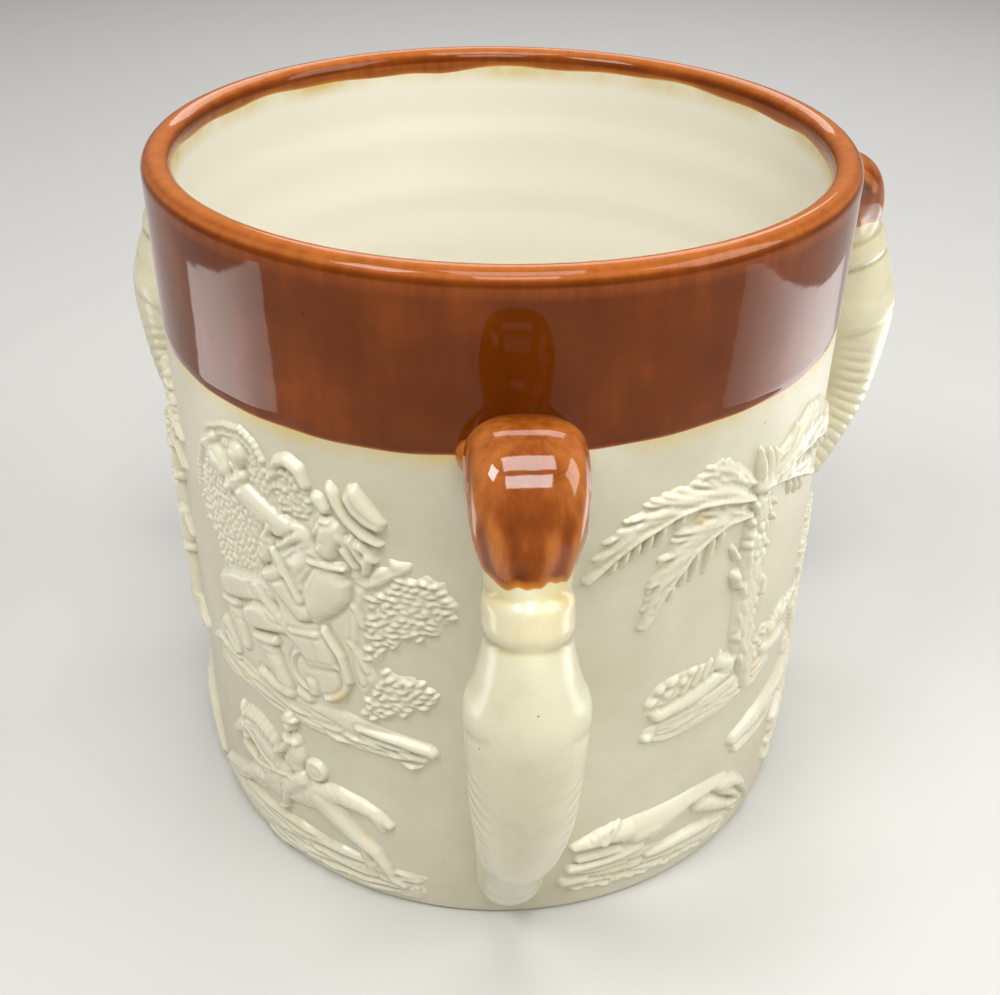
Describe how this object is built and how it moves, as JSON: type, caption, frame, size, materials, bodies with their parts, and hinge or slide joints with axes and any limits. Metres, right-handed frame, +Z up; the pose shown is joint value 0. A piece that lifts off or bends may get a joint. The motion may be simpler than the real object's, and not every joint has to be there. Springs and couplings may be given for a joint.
{
  "type": "loving cup",
  "caption": "Cylindrical brown-dipped stoneware loving cup with greyhound handles and applied relief sprigs of a drinker, palms and a hunt, for drinking and passing round.",
  "frame": {"origin": "centre of the flat base on the table, on the cup's axis", "axes": "+Z up along the cup's axis; -Y towards the front handle; +X to the right as seen from the front"},
  "size_m": [0.1995, 0.1898, 0.1503],
  "materials": {
    "stoneware_body": "satin pale greige salt glaze over stoneware",
    "brown_dip_glaze": "glossy toffee-brown slip glaze",
    "cream_clay": "glossy clear glaze over cream clay, brown where the head was dipped",
    "sprig_clay": "satin clear glaze over cream relief clay"
  },
  "bodies": {
    "root": {"cup_body": "stoneware_body", "brown_dip": "brown_dip_glaze", "greyhound_front": "cream_clay", "greyhound_right": "cream_clay", "greyhound_left": "cream_clay", "toper_left": "sprig_clay", "toper_back": "sprig_clay", "palm_right": "sprig_clay", "palm_back": "sprig_clay", "sapling_left": "sprig_clay", "bush_right": "sprig_clay", "horse_left": "sprig_clay", "horse_back": "sprig_clay", "hound_right": "sprig_clay", "hound_rear": "sprig_clay", "hound_left": "sprig_clay"}
  },
  "joints": []
}
